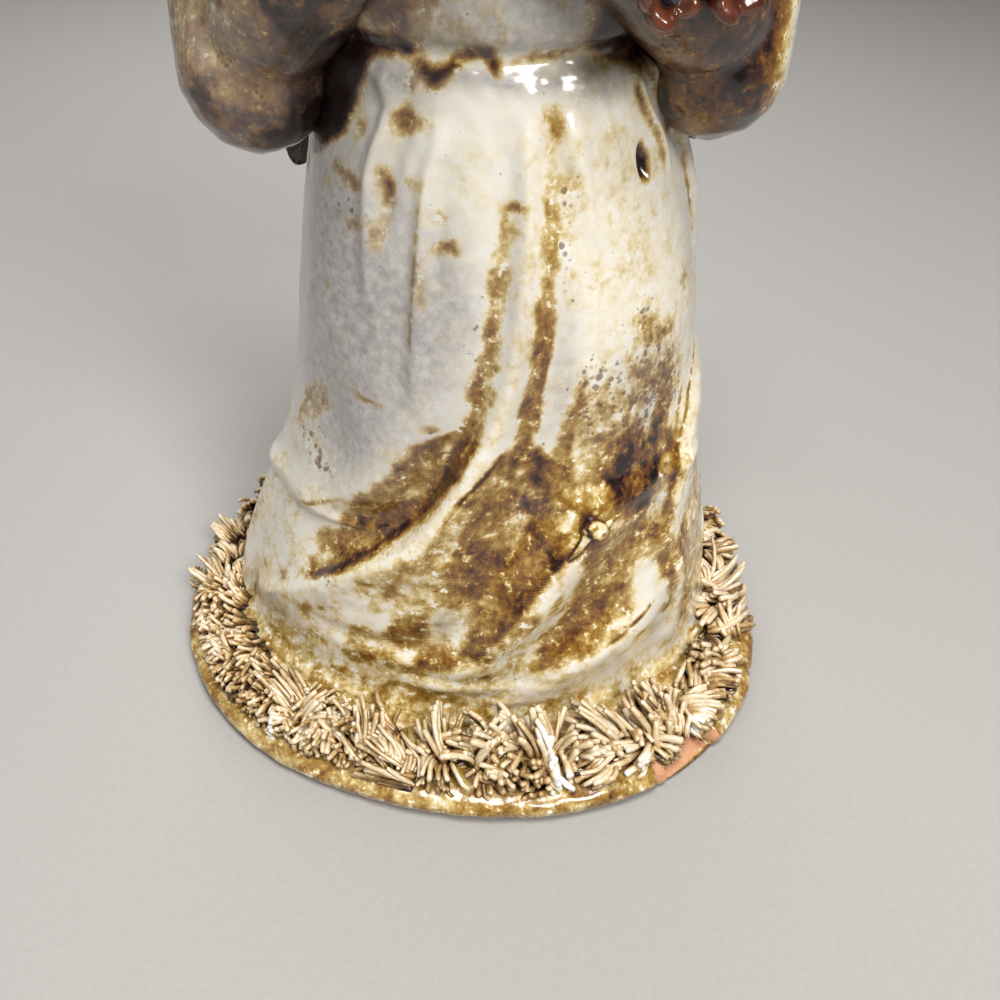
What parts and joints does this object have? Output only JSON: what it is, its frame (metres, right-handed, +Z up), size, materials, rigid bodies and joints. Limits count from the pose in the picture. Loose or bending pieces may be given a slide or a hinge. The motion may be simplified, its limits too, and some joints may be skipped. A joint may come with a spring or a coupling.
{
  "type": "cherub figurine",
  "caption": "Hand-built glazed pottery cherub in a swirling robe, with small wings and a posy, standing on a round base plate trimmed with sieved clay tufts.",
  "frame": {"origin": "centre of the base plate's flat underside", "axes": "+Z up along the figure, -Y towards the front that the figure faces, +X towards its left hand, which is the viewer's right"},
  "size_m": [0.1255, 0.1254, 0.2104],
  "materials": {
    "glazed_clay": "thick glossy glaze, cream white breaking to amber and brown"
  },
  "bodies": {
    "root": {"cherub_figurine": "glazed_clay"}
  },
  "joints": []
}
